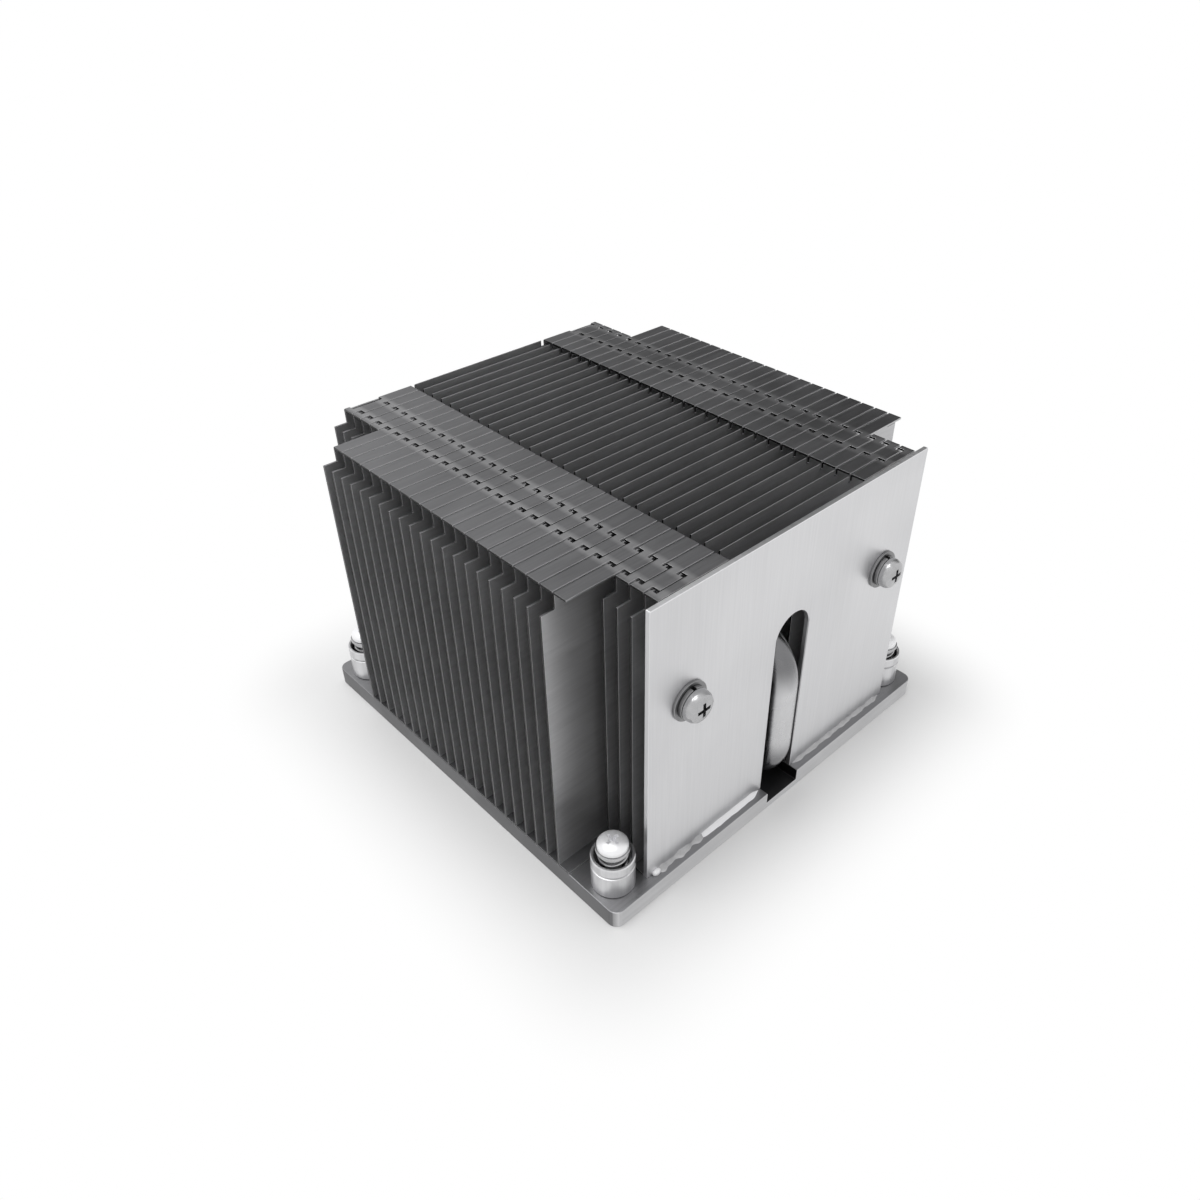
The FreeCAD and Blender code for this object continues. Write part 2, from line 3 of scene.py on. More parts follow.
import bmesh
import bpy
from mathutils import Matrix, Vector


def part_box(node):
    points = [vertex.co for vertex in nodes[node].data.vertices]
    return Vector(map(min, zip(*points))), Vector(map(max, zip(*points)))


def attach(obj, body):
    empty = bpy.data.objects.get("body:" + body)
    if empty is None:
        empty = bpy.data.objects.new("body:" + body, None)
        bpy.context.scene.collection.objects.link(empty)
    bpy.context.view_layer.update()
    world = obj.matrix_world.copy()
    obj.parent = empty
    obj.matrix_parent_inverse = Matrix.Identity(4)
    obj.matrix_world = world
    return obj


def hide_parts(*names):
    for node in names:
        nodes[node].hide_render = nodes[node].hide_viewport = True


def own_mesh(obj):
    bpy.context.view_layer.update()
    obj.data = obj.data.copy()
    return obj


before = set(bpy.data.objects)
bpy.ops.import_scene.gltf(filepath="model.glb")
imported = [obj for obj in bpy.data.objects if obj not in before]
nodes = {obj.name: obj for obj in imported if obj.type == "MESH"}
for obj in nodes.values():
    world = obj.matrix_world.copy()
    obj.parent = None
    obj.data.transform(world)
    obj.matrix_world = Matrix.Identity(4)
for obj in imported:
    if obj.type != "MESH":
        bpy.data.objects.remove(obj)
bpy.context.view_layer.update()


# Base plate
# A slab of milled aluminium under the whole cooler. Its edges are broken, its top shows the
# straight marks of the cutter, and its underside is milled flat where it meets the processor.

MM = 0.001


def add_node(tree, kind, fed=(), **settings):
    """Adds a node, makes its settings, and feeds its inputs with values or other nodes' outputs."""
    node = tree.nodes.new(kind)
    for name, value in settings.items():
        setattr(node, name, value)
    for socket, value in dict(fed).items():
        if isinstance(value, bpy.types.NodeSocket):
            tree.links.new(value, node.inputs[socket])
        else:
            node.inputs[socket].default_value = value
    return node


def calc(tree, operation, *values):
    """The result of a Math node on numbers or other nodes' outputs."""
    return add_node(tree, "ShaderNodeMath", enumerate(values), operation=operation).outputs[0]


def ramp(tree, value, start, full, low=0.0, high=1.0, interpolation="LINEAR"):
    """Carries a value over from start and full to low and high, and holds it there beyond."""
    return add_node(tree, "ShaderNodeMapRange", {
        "Value": value, "From Min": start, "From Max": full, "To Min": low, "To Max": high,
    }, interpolation_type=interpolation).outputs["Result"]


def mixed(tree, mask, below, above, blend="MIX"):
    """Lays one colour over another where a mask is white."""
    return add_node(tree, "ShaderNodeMix", {"Factor": mask, "A": below, "B": above},
                    data_type="RGBA", blend_type=blend).outputs["Result"]


def make_group(kind, name, inputs, outputs):
    """A node group with named sockets, with the sockets that it is given and that it fills."""
    group = bpy.data.node_groups.new(name, kind)
    for way, sockets in (("INPUT", inputs), ("OUTPUT", outputs)):
        for label, socket in sockets.items():
            group.interface.new_socket(label, in_out=way, socket_type=socket)
    return group, group.nodes.new("NodeGroupInput").outputs, group.nodes.new("NodeGroupOutput").inputs


GRAIN_DETAIL = 3.0
GRAIN_ROUGHNESS = 0.6


def make_grain():
    """Fine marks drawn out along one axis by stretching a noise."""
    group, given, result = make_group(
        "ShaderNodeTree", "grain", {"Vector": "NodeSocketVector", "Stretch": "NodeSocketVector"},
        {"Value": "NodeSocketFloat"})
    stretched = add_node(group, "ShaderNodeVectorMath", {0: given["Vector"], 1: given["Stretch"]},
                         operation="MULTIPLY")
    noise = add_node(group, "ShaderNodeTexNoise", {
        "Vector": stretched.outputs["Vector"], "Scale": 1.0, "Detail": GRAIN_DETAIL,
        "Roughness": GRAIN_ROUGHNESS})
    group.links.new(noise.outputs["Fac"], result["Value"])
    return group


SMUDGE_DETAIL = 5.0
SMUDGE_CURL = 0.6
SMUDGE_START = 0.36
SMUDGE_FULL = 0.68


def make_smudges():
    """Soft uneven patches from handling, as a mask from 0 to 1."""
    group, given, result = make_group(
        "ShaderNodeTree", "smudges", {"Vector": "NodeSocketVector", "Size": "NodeSocketFloat"},
        {"Mask": "NodeSocketFloat"})
    noise = add_node(group, "ShaderNodeTexNoise", {
        "Vector": given["Vector"], "Scale": given["Size"], "Detail": SMUDGE_DETAIL,
        "Distortion": SMUDGE_CURL})
    group.links.new(ramp(group, noise.outputs["Fac"], SMUDGE_START, SMUDGE_FULL), result["Mask"])
    return group


FACING_START = 0.55
FACING_FULL = 0.85
ALONG_AXIS = 0.995
OFF_AXIS = 0.96


def make_facing():
    """Masks of the faces that look along X, the sheared ends, and along Z, the tops, and of the
    turned faces that look along no axis."""
    group, given, result = make_group(
        "ShaderNodeTree", "facing", {"Normal": "NodeSocketVector"},
        {"Ends": "NodeSocketFloat", "Tops": "NodeSocketFloat", "Turned": "NodeSocketFloat"})
    normal = add_node(group, "ShaderNodeSeparateXYZ", {"Vector": given["Normal"]}).outputs
    along = {axis: calc(group, "ABSOLUTE", normal[axis]) for axis in "XYZ"}
    for axis, label in (("X", "Ends"), ("Z", "Tops")):
        group.links.new(ramp(group, along[axis], FACING_START, FACING_FULL), result[label])
    largest = calc(group, "MAXIMUM", calc(group, "MAXIMUM", along["X"], along["Y"]), along["Z"])
    group.links.new(ramp(group, largest, ALONG_AXIS, OFF_AXIS), result["Turned"])
    return group


GRAIN = make_grain()
SMUDGES = make_smudges()
FACING = make_facing()


def facing_masks(tree):
    """The masks of the facing group for a piece's own normals."""
    place = add_node(tree, "ShaderNodeTexCoord")
    return add_node(tree, "ShaderNodeGroup", {"Normal": place.outputs["Normal"]},
                    node_tree=FACING).outputs


def own_axes(tree):
    """The X, Y and Z of each point of a piece, from the part's origin."""
    place = add_node(tree, "ShaderNodeTexCoord")
    return add_node(tree, "ShaderNodeSeparateXYZ", {"Vector": place.outputs["Object"]}).outputs


COOL_TINT = 1.015


def grey(level):
    """A neutral metal tone, a touch cool."""
    return (level, level, min(1.0, COOL_TINT * level), 1.0)


RUB_START = 0.52
RUB_FULL = 0.62
RUB_GAIN = 1.3
GLOSS_SPREAD = 0.06
RELIEF_DEPTH = 0.02 * MM


def metal(name, dark, light, rough, stretch, bump, smudge_size=90.0, smudge_rough=0.12, edge=0.25,
          ends=1.0, tops=1.0, metallic=1.0):
    """A metal whose tone and gloss follow its grain, with smudges and brighter rubbed edges. Its ends and
    tops can carry painted shade or painted light: their colour is made darker or lighter than its sides
    by the way they face."""
    material = bpy.data.materials.new(name)
    material.use_nodes = True
    tree = material.node_tree
    shader = tree.nodes["Principled BSDF"]
    shader.inputs["Metallic"].default_value = metallic
    place = add_node(tree, "ShaderNodeTexCoord").outputs["Object"]
    grain = add_node(tree, "ShaderNodeGroup", {"Vector": place, "Stretch": stretch},
                     node_tree=GRAIN).outputs["Value"]
    smudge = add_node(tree, "ShaderNodeGroup", {"Vector": place, "Size": smudge_size},
                      node_tree=SMUDGES).outputs["Mask"]
    facing = facing_masks(tree)

    tone = mixed(tree, grain, grey(dark), grey(light))
    # Painted shade or light: the colour of faces looking along X (ends) and along Z (tops) is scaled by
    # their direction.
    if ends != 1.0:
        tone = mixed(tree, facing["Ends"], tone, grey(ends), "MULTIPLY")
    if tops != 1.0:
        tone = mixed(tree, facing["Tops"], tone, grey(tops), "MULTIPLY")
    geometry = add_node(tree, "ShaderNodeNewGeometry")
    rubbed = ramp(tree, geometry.outputs["Pointiness"], RUB_START, RUB_FULL, high=edge)
    worn = calc(tree, "MULTIPLY", rubbed, facing["Turned"])
    tone = mixed(tree, worn, tone, grey(min(1.0, RUB_GAIN * light)))
    tree.links.new(tone, shader.inputs["Base Color"])

    gloss = ramp(tree, grain, 0.0, 1.0, rough - GLOSS_SPREAD, rough + GLOSS_SPREAD)
    dulled = calc(tree, "MULTIPLY_ADD", smudge, smudge_rough, gloss)
    tree.links.new(dulled, shader.inputs["Roughness"])
    relief = add_node(tree, "ShaderNodeBump", {
        "Strength": bump, "Distance": RELIEF_DEPTH, "Height": grain})
    tree.links.new(relief.outputs["Normal"], shader.inputs["Normal"])
    return material


def lay_over(material, mask, tint, blend="MIX"):
    """Lays a tint over a material's colour where a mask is white."""
    tree = material.node_tree
    colour = tree.nodes["Principled BSDF"].inputs["Base Color"]
    tree.links.new(mixed(tree, mask, colour.links[0].from_socket, tint, blend), colour)


JOIN_REACH = 0.001 * MM
SHARP_ANGLE = math.radians(28)


def make_shading():
    """Joins a solid's loose triangles and shades it smooth up to its real edges."""
    group, given, result = make_group(
        "GeometryNodeTree", "real_edges", {"Geometry": "NodeSocketGeometry"},
        {"Geometry": "NodeSocketGeometry"})
    joined = add_node(group, "GeometryNodeMergeByDistance", {
        "Geometry": given["Geometry"], "Distance": JOIN_REACH})
    soft = add_node(group, "GeometryNodeSetShadeSmooth", {"Geometry": joined.outputs["Geometry"]})
    angle = add_node(group, "GeometryNodeInputMeshEdgeAngle")
    sharp = add_node(group, "FunctionNodeCompare", {
        "A": angle.outputs["Unsigned Angle"], "B": SHARP_ANGLE,
    }, data_type="FLOAT", operation="GREATER_THAN")
    hard = add_node(group, "GeometryNodeSetShadeSmooth", {
        "Geometry": soft.outputs["Geometry"], "Selection": sharp.outputs["Result"],
        "Shade Smooth": False,
    }, domain="EDGE")
    group.links.new(hard.outputs["Geometry"], result["Geometry"])
    return group


REAL_EDGES = make_shading()
FLAT_ANGLE = math.radians(0.5)


def dress(name, material, edge_width, segments=2):
    """Gives a solid of the frame its finish and breaks its edges."""
    node = nodes[name]
    node.data.materials.clear()
    node.data.materials.append(material)
    shading = node.modifiers.new("real_edges", "NODES")
    shading.node_group = REAL_EDGES
    flats = node.modifiers.new("flats", "DECIMATE")
    flats.decimate_type = "DISSOLVE"
    flats.angle_limit = FLAT_ANGLE
    bevel = node.modifiers.new("edges", "BEVEL")
    bevel.limit_method = "ANGLE"
    bevel.angle_limit = SHARP_ANGLE
    bevel.width = edge_width
    bevel.segments = segments
    bevel.harden_normals = True
    bevel.use_clamp_overlap = True


MOUTH_HALF_WIDTH = 4.7 * MM
MOUTH_MIDDLE = -40.9 * MM
MOUTH_HALF_LENGTH = 5.0 * MM
MOUTH_FLOOR = 1.35 * MM
SHADE_DEPTH = 0.3 * MM
GROOVE_SHADE = 0.22


def shade_groove(material, top):
    """Paints shade into the open mouth of the pipe's groove, below the base's top, where the pipe's bend
    shades it.
    """
    tree = material.node_tree
    point = own_axes(tree)
    across = calc(tree, "LESS_THAN", calc(tree, "ABSOLUTE", point["X"]), MOUTH_HALF_WIDTH)
    along = calc(tree, "COMPARE", point["Y"], MOUTH_MIDDLE, MOUTH_HALF_LENGTH)
    raised = calc(tree, "GREATER_THAN", point["Z"], MOUTH_FLOOR)
    mouth = calc(tree, "MULTIPLY", calc(tree, "MULTIPLY", across, along), raised)
    deep = ramp(tree, point["Z"], top, top - SHADE_DEPTH)
    lay_over(material, calc(tree, "MULTIPLY", mouth, deep), grey(GROOVE_SHADE), "MULTIPLY")


BASE_EDGE = 0.25 * MM

# Painted shade: the base's sides that look along X and its top are darkened by the ends and tops factors.
milled = metal("milled_aluminium", dark=0.43, light=0.59, rough=0.38, stretch=(40.0, 5200.0, 900.0),
               bump=0.3, edge=0.35, ends=0.28, tops=0.52)
base_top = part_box("base_plate")[1].z
dress("base_plate", milled, BASE_EDGE, segments=3)
# Painted shade in the groove's mouth under the pipe's bend.
shade_groove(milled, base_top)


# Fins
# Twenty-eight pressed sheets of thin aluminium, folded top and bottom and locked tongue to
# recess, then soldered on the base. Rolling left a faint grain along each sheet.

FIN_EDGE = 0.1 * MM
TONGUE_MIDDLE = 28.35 * MM
SLOT_OFFSET = 2.85 * MM
SLOT_REACH = 0.7 * MM
SLOT_FADE = 0.9 * MM
TONGUE_HIGHLIGHT_SHARE = 0.7
TONGUE_HIGHLIGHT_TONE = 0.5


def paint_tongue_highlights(material):
    """Paints highlights on the flange tops in the four rows where each tongue was sheared and pressed
    down.
    """
    tree = material.node_tree
    away = own_axes(tree)["X"]
    for middle in (0.0, TONGUE_MIDDLE, SLOT_OFFSET):
        away = calc(tree, "ABSOLUTE", calc(tree, "SUBTRACT", away, middle))
    # Painted highlight: bright rows that stand for glints on the pressed tongues.
    highlight_rows = ramp(tree, away, SLOT_REACH + SLOT_FADE, SLOT_REACH, high=TONGUE_HIGHLIGHT_SHARE)
    lay_over(material, calc(tree, "MULTIPLY", highlight_rows, facing_masks(tree)["Tops"]), grey(TONGUE_HIGHLIGHT_TONE))


def polish_tops(material):
    """Makes the flat flanges wholly metallic, so that they mirror the room in a soft way."""
    tree = material.node_tree
    metallic = tree.nodes["Principled BSDF"].inputs["Metallic"]
    tops = facing_masks(tree)["Tops"]
    tree.links.new(ramp(tree, tops, 0.0, 1.0, low=metallic.default_value), metallic)


# Painted shade: the sheared ends are darkened nearly to black for the shade deep between the fins, and
# the flange tops are darkened.
fin_sheet = metal("fin_sheet", dark=0.42, light=0.58, rough=0.32, stretch=(120.0, 2600.0, 1400.0),
                  bump=0.08, smudge_size=45.0, smudge_rough=0.08, edge=0.1, ends=0.04, tops=0.52,
                  metallic=0.82)
polish_tops(fin_sheet)
paint_tongue_highlights(fin_sheet)
fins = sorted(name for name in nodes if name.startswith("fin_"))
for name in fins:
    dress(name, fin_sheet, FIN_EDGE)


# End plate
# A bright rolled aluminium sheet that closes the front of the stack. It is slotted for the pipe
# and keeps the faint upright grain of the rolling mill and a few dull patches from handling.

PLATE_EDGE = 0.15 * MM

plate_sheet = metal("plate_sheet", dark=0.62, light=0.73, rough=0.34, stretch=(2600.0, 200.0, 60.0),
                    bump=0.12, smudge_size=38.0, smudge_rough=0.14, edge=0.6)
dress("end_plate", plate_sheet, PLATE_EDGE)
plate_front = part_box("end_plate")[0].y


# Heat pipe
# A round copper pipe, nickel plated and bent like a C: its lower leg lies in the base and its
# upper leg runs back through the fins. Both ends are swaged down and closed.

PIPE_SIDES = 40
BEND_STEPS = 18
PIPE_BEND_RADIUS = 9.0 * MM
WELD_REACH = 0.0005 * MM
QUARTER_TURN = math.radians(90)

pipe_low, pipe_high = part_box("heat_pipe")
pipe_radius = (pipe_high.x - pipe_low.x) / 2


def add_object(name, data):
    """Puts an object of some data in the scene."""
    made = bpy.data.objects.new(name, data)
    bpy.context.scene.collection.objects.link(made)
    return made


def finish_piece(mesh_data, name, material, body):
    """Makes an object of a finished bmesh, with its normals out, and puts it on its body."""
    bmesh.ops.remove_doubles(mesh_data, verts=mesh_data.verts, dist=WELD_REACH)
    bmesh.ops.recalc_face_normals(mesh_data, faces=mesh_data.faces)
    for face in mesh_data.faces:
        face.smooth = True
    for edge in mesh_data.edges:
        edge.smooth = edge.calc_face_angle(0.0) < SHARP_ANGLE
    mesh = bpy.data.meshes.new(name)
    mesh_data.to_mesh(mesh)
    mesh_data.free()
    piece = add_object(name, mesh)
    piece.data.materials.append(material)
    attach(piece, body)
    return piece


def parts_of(made, kind):
    """The vertices or the edges among what an operator has made."""
    return [part for part in made if isinstance(part, kind)]


def run_on(mesh_data, edges, move):
    """Extrudes a ring of edges along a straight line and returns the new ring."""
    made = bmesh.ops.extrude_edge_only(mesh_data, edges=edges)["geom"]
    bmesh.ops.translate(mesh_data, verts=parts_of(made, bmesh.types.BMVert), vec=move)
    return [edge for edge in parts_of(made, bmesh.types.BMEdge) if edge.is_boundary]


def bend_on(mesh_data, edges, centre):
    """Spins a ring of edges a quarter turn about an axis along X and returns the new ring."""
    made = bmesh.ops.spin(mesh_data, geom=edges, cent=centre, axis=(1.0, 0.0, 0.0),
                          angle=-QUARTER_TURN, steps=BEND_STEPS, use_duplicate=False)["geom_last"]
    return parts_of(made, bmesh.types.BMEdge)


# The length of each step, and the share of the ring's width that it leaves.
SWAGE_STEPS = ((0.7 * MM, 0.93), (0.8 * MM, 0.82), (0.5 * MM, 0.7))
SWAGE_LENGTH = sum(reach for reach, share in SWAGE_STEPS)


def close_end(mesh_data, edges):
    """Swages a ring down in three steps and closes it with a small round face."""
    for reach, share in SWAGE_STEPS:
        edges = run_on(mesh_data, edges, (0.0, reach, 0.0))
        ring = {vert for edge in edges for vert in edge.verts}
        middle = sum((vert.co for vert in ring), Vector()) / len(ring)
        bmesh.ops.scale(mesh_data, verts=list(ring), vec=(share, 1.0, share),
                        space=Matrix.Translation(-middle))
    bmesh.ops.contextual_create(mesh_data, geom=edges)


def make_pipe():
    """Runs a ring from the rear end of the lower leg round the C to the rear of the upper leg."""
    pipe = bmesh.new()
    lower = pipe_low.z + pipe_radius
    upper = pipe_high.z - pipe_radius
    bend = pipe_low.y + pipe_radius + PIPE_BEND_RADIUS
    rear = pipe_high.y - SWAGE_LENGTH
    start = Matrix.Translation((0.0, rear, lower)) @ Matrix.Rotation(QUARTER_TURN, 4, "X")
    ring = bmesh.ops.create_circle(pipe, segments=PIPE_SIDES, radius=pipe_radius, matrix=start)["verts"]
    first = list({edge for vert in ring for edge in vert.link_edges})
    edges = run_on(pipe, first, (0.0, bend - rear, 0.0))
    edges = bend_on(pipe, edges, (0.0, bend, lower + PIPE_BEND_RADIUS))
    edges = run_on(pipe, edges, (0.0, 0.0, upper - lower - 2 * PIPE_BEND_RADIUS))
    edges = bend_on(pipe, edges, (0.0, bend, upper - PIPE_BEND_RADIUS))
    edges = run_on(pipe, edges, (0.0, rear - bend, 0.0))
    close_end(pipe, edges)
    close_end(pipe, [edge for edge in first if edge.is_valid and edge.is_boundary])
    return pipe


BRIGHT_MIDDLE = 21.5 * MM
BRIGHT_REACH = 5.0 * MM
BEND_SHADE_REACH = 12.0 * MM
PIPE_SHADE = 0.34


def shade_bends(material):
    """Paints shade on the pipe away from its straight front, darkening its bends."""
    tree = material.node_tree
    away = calc(tree, "ABSOLUTE", calc(tree, "SUBTRACT", own_axes(tree)["Z"], BRIGHT_MIDDLE))
    bend_shade = ramp(tree, away, BRIGHT_REACH, BEND_SHADE_REACH, interpolation="SMOOTHSTEP")
    lay_over(material, bend_shade, grey(PIPE_SHADE), "MULTIPLY")


plated = metal("nickel_plate", dark=0.52, light=0.64, rough=0.22, stretch=(900.0, 300.0, 300.0),
               bump=0.08, smudge_size=140.0)
# Painted shade on the bends of the pipe.
shade_bends(plated)
pipe = finish_piece(make_pipe(), "bent_pipe", plated, "heat_sink")
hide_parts("heat_pipe")


# Solder along the end plate's foot
# Solder fixes the plate to the base. It was run in by hand: a smooth fillet left of the pipe's slot,
# coloured near white as a painted highlight, then a dull lumpy stretch with a drop at its end that is
# near white as a painted highlight, and a thin dull line on the right, darkened as painted shade.

SOLDER_STEP = 0.35 * MM
THIN_END = 0.15
LONG_LUMPS = 0.43
SHORT_LUMPS = 0.97
SHORT_START = 1.0
# Out from the plate and up from the base, for a fillet of size 1.
FILLET_SECTION = ((0.0, 0.0), (-1.0, 0.0), (-0.66, 0.16), (-0.4, 0.36), (-0.18, 0.64), (0.0, 1.0))


def make_solder(start, end, size, lumps, taper):
    """A hollow-faced fillet along X in the corner of plate and base, thin at both its ends."""
    fillet = bmesh.new()
    thin = THIN_END * size
    fillet.faces.new([fillet.verts.new((start, plate_front + thin * out, base_top + thin * up))
                      for out, up in FILLET_SECTION])
    edges = list(fillet.edges)
    count = round(abs(end - start) / SOLDER_STEP)
    width = THIN_END
    for step in range(1, count + 1):
        waves = math.sin(LONG_LUMPS * step) + 0.5 * math.sin(SHORT_LUMPS * step + SHORT_START)
        swell = 1.0 + lumps * (waves - 1.0)
        from_end = min(1.0, min(step, count - step) / taper)
        wider = max(THIN_END, swell * math.sin(QUARTER_TURN * from_end))
        made = bmesh.ops.extrude_edge_only(fillet, edges=edges)["geom"]
        ring = parts_of(made, bmesh.types.BMVert)
        edges = [edge for edge in parts_of(made, bmesh.types.BMEdge)
                 if all(vert in ring for vert in edge.verts)]
        bmesh.ops.translate(fillet, verts=ring, vec=((end - start) / count, 0.0, 0.0))
        bmesh.ops.scale(fillet, verts=ring, vec=(1.0, wider / width, wider / width),
                        space=Matrix.Translation((0.0, -plate_front, -base_top)))
        width = wider
    bmesh.ops.contextual_create(fillet, geom=edges)
    return fillet


DROP_OUT = 0.35
DROP_UP = 0.45
DROP_SHAPE = (1.25, 0.8, 0.9, 1.0)


def make_drop(across, size):
    """A round drop of solder that froze half on the plate and half on the base."""
    drop = bmesh.new()
    place = Matrix.Translation((across, plate_front - DROP_OUT * size, base_top + DROP_UP * size))
    bmesh.ops.create_uvsphere(drop, u_segments=20, v_segments=12, radius=size,
                              matrix=place @ Matrix.Diagonal(DROP_SHAPE))
    return drop


# Painted highlight: the bright solder is near white to stand for a glint along the fillet. Its dull copy
# is darker, and on the right it stands for painted shade.
solder = metal("solder", dark=0.86, light=0.97, rough=0.3, stretch=(500.0, 500.0, 500.0),
               bump=0.2, metallic=0.2)
dull_and_shaded_solder = metal("dull_and_shaded_solder", dark=0.3, light=0.55, rough=0.42, stretch=(900.0, 900.0, 900.0),
                    bump=0.6, metallic=0.8)
smooth = make_solder(start=-5.3 * MM, end=-22.5 * MM, size=0.85 * MM, lumps=0.05, taper=7)
lumpy = make_solder(start=-20.5 * MM, end=-33.8 * MM, size=1.0 * MM, lumps=0.25, taper=6)
drop = make_drop(across=-33.4 * MM, size=0.75 * MM)
right = make_solder(start=5.3 * MM, end=34.6 * MM, size=0.7 * MM, lumps=0.15, taper=6)
for label, shape, material in (
        ("solder_smooth", smooth, solder), ("solder_lumpy", lumpy, dull_and_shaded_solder),
        ("solder_drop", drop, solder), ("solder_right", right, dull_and_shaded_solder)):
    finish_piece(shape, label, material, "heat_sink")


# Screws of the end plate
# Two plated steel pan head screws with cross recesses, each on a dark spring washer and flat washer, with
# a nut behind the plate.

HEAD_SIDES = 48
FULL_TURN = math.radians(360)

zinc = metal("zinc_plate", dark=0.34, light=0.54, rough=0.22, stretch=(900.0, 900.0, 900.0),
             bump=0.2, smudge_size=260.0)
dark_washer = metal("dark_steel", dark=0.17, light=0.29, rough=0.3,
                    stretch=(900.0, 900.0, 900.0), bump=0.2, smudge_size=260.0, edge=0.6)


def turned(profile, sides):
    """Spins a profile of radius and height round the Z axis into a closed turned piece."""
    piece = bmesh.new()
    verts = [piece.verts.new((radius, 0.0, height)) for radius, height in profile]
    edges = [piece.edges.new(pair) for pair in zip(verts, verts[1:])]
    bmesh.ops.spin(piece, geom=verts + edges, cent=(0.0, 0.0, 0.0), axis=(0.0, 0.0, 1.0),
                   angle=FULL_TURN, steps=sides, use_merge=True, use_duplicate=False)
    bmesh.ops.remove_doubles(piece, verts=piece.verts, dist=WELD_REACH)
    bmesh.ops.recalc_face_normals(piece, faces=piece.faces)
    return piece


CROSS_TAPER = 0.62


def cross_cutter(span, width, depth, top):
    """The cross of a driver's tip, narrower at its bottom, as a solid to cut with."""
    cutter = bmesh.new()
    for turn in (0.0, QUARTER_TURN):
        made = bmesh.ops.create_cube(cutter, size=1.0)["verts"]
        bmesh.ops.scale(cutter, verts=made, vec=(span, width, 2.0 * depth))
        low = [vert for vert in made if vert.co.z < 0.0]
        bmesh.ops.scale(cutter, verts=low, vec=(CROSS_TAPER, CROSS_TAPER, 1.0))
        bmesh.ops.rotate(cutter, verts=made, cent=(0.0, 0.0, 0.0), matrix=Matrix.Rotation(turn, 3, "Z"))
        bmesh.ops.translate(cutter, verts=made, vec=(0.0, 0.0, top))
    return cutter


def cut_with(piece, cutter):
    """The bmesh of piece with cutter's solid taken away."""
    made = []
    for label, source in (("work", piece), ("tool", cutter)):
        mesh = bpy.data.meshes.new(label)
        source.to_mesh(mesh)
        source.free()
        made.append(add_object(label, mesh))
    work, tool = made
    cut = work.modifiers.new("cut", "BOOLEAN")
    cut.operation = "DIFFERENCE"
    cut.solver = "EXACT"
    cut.use_self = True
    cut.object = tool
    result = bmesh.new()
    result.from_mesh(work.evaluated_get(bpy.context.evaluated_depsgraph_get()).data)
    for item in made:
        mesh = item.data
        bpy.data.objects.remove(item)
        bpy.data.meshes.remove(mesh)
    return result


SCREW_ACROSS = 26.5 * MM


def on_plate(piece, side):
    """Turns a piece made about Z to stand out of the end plate at one of its screws."""
    low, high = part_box("plate_nuts")
    place = Matrix.Translation((side * SCREW_ACROSS, plate_front, (low.z + high.z) / 2))
    bmesh.ops.transform(piece, matrix=place @ Matrix.Rotation(QUARTER_TURN, 4, "X"), verts=piece.verts)
    return piece


RING_ROUNDING = 0.15


def flat_ring(inner, outer, low, high):
    """A stamped ring with slightly rolled outer edges, as a turned piece."""
    edge = RING_ROUNDING * (high - low)
    return turned([
        (inner, low), (outer - edge, low), (outer, low + edge), (outer, high - edge),
        (outer - edge, high), (inner, high), (inner, low),
    ], HEAD_SIDES)


SPLIT_ROUNDING = 0.12
SPLIT_RISE = 0.06
SPLIT_ANGLE = math.radians(14)


def split_ring(inner, outer, low, high):
    """A spring washer: square wire wound once, with an open cut and its ends a little apart."""
    ring = bmesh.new()
    edge = SPLIT_ROUNDING * (high - low)
    rise = SPLIT_RISE * (high - low)
    upper = high - rise
    corners = [(inner, low), (outer - edge, low), (outer, low + edge), (outer, upper - edge),
               (outer - edge, upper), (inner, upper)]
    turn = Matrix.Rotation(QUARTER_TURN + SPLIT_ANGLE / 2, 3, "Z")
    verts = [ring.verts.new(turn @ Vector((radius, 0.0, height))) for radius, height in corners]
    ring.faces.new(verts)
    made = bmesh.ops.spin(ring, geom=list(ring.edges), cent=(0.0, 0.0, 0.0), axis=(0.0, 0.0, 1.0),
                          dvec=(0.0, 0.0, rise / HEAD_SIDES), angle=FULL_TURN - SPLIT_ANGLE,
                          steps=HEAD_SIDES, use_duplicate=False)["geom_last"]
    bmesh.ops.contextual_create(ring, geom=parts_of(made, bmesh.types.BMEdge))
    return ring


NUT_EDGE = 0.08 * MM
FLAT_WASHER = 0.5 * MM
SEAT = 1.3 * MM
WASHER_BORE = 1.6 * MM
THREAD_RADIUS = 1.5 * MM
THREAD_END = -3.1 * MM
THREAD_CHAMFER = 0.2 * MM
TIP_RADIUS = 1.2 * MM
HEAD_RADIUS = 3.0 * MM
HEAD_HEIGHT = 2.2 * MM
# Shares of the head's radius and height, from the middle of its top to its rim.
PAN_SECTION = ((0.0, 1.0), (0.42, 0.985), (0.68, 0.92), (0.87, 0.78), (0.97, 0.55), (1.0, 0.3),
               (1.0, 0.06), (0.97, 0.0))

